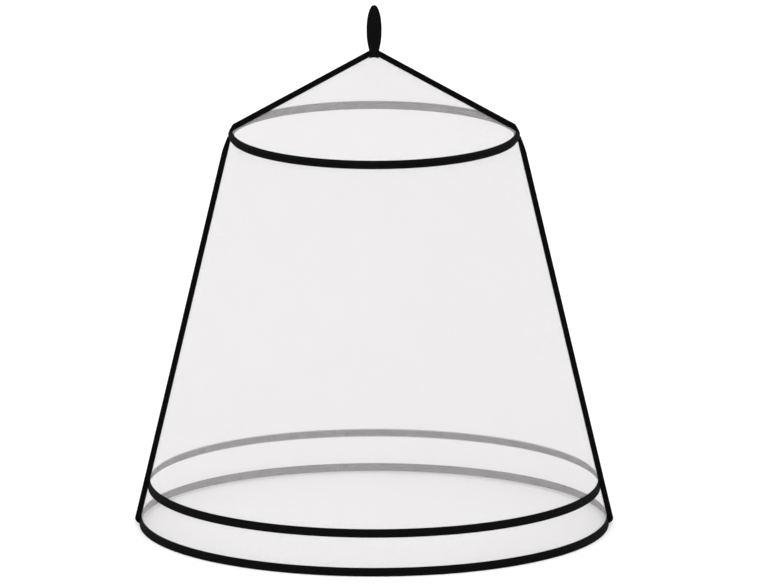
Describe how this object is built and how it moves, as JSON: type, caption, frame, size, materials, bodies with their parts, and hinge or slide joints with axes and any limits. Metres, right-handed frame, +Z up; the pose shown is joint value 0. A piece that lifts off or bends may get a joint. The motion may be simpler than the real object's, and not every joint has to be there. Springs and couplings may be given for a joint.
{
  "type": "mosquito net canopy with hoop",
  "caption": "Round mosquito net hung from one loop: a cone roof sewn to a hoop in a tape casing, a flared sheer wall and a bordered hem, open below, that falls round a single bed.",
  "frame": {"origin": "seat of the ceiling hook, inside the top of the hanging loop, on the canopy's vertical axis", "axes": "+Z up, the canopy hangs towards -Z; the front is -Y; the bound seams lie at +X and -X"},
  "size_m": [2.229, 2.1918, 2.4725],
  "materials": {
    "netting": "sheer white polyester bobbinet, matt",
    "tape": "black ribbed polyester tape, matt",
    "strap": "black herringbone webbing, matt",
    "hoop": "black plastic tube"
  },
  "bodies": {
    "root": {"hanging_loop": "strap", "roof_panel_front": "netting", "roof_panel_back": "netting", "roof_seam_binding_left": "tape", "roof_seam_binding_right": "tape", "hoop": "hoop", "hoop_casing_outer": "tape", "hoop_casing_inner": "tape", "wall_panel_front": "netting", "wall_panel_back": "netting", "wall_seam_binding_left": "tape", "wall_seam_binding_right": "tape", "border_panel_front": "netting", "border_panel_back": "netting", "border_tape_front": "tape", "border_tape_back": "tape", "hem_binding_front": "tape", "hem_binding_back": "tape"}
  },
  "joints": []
}
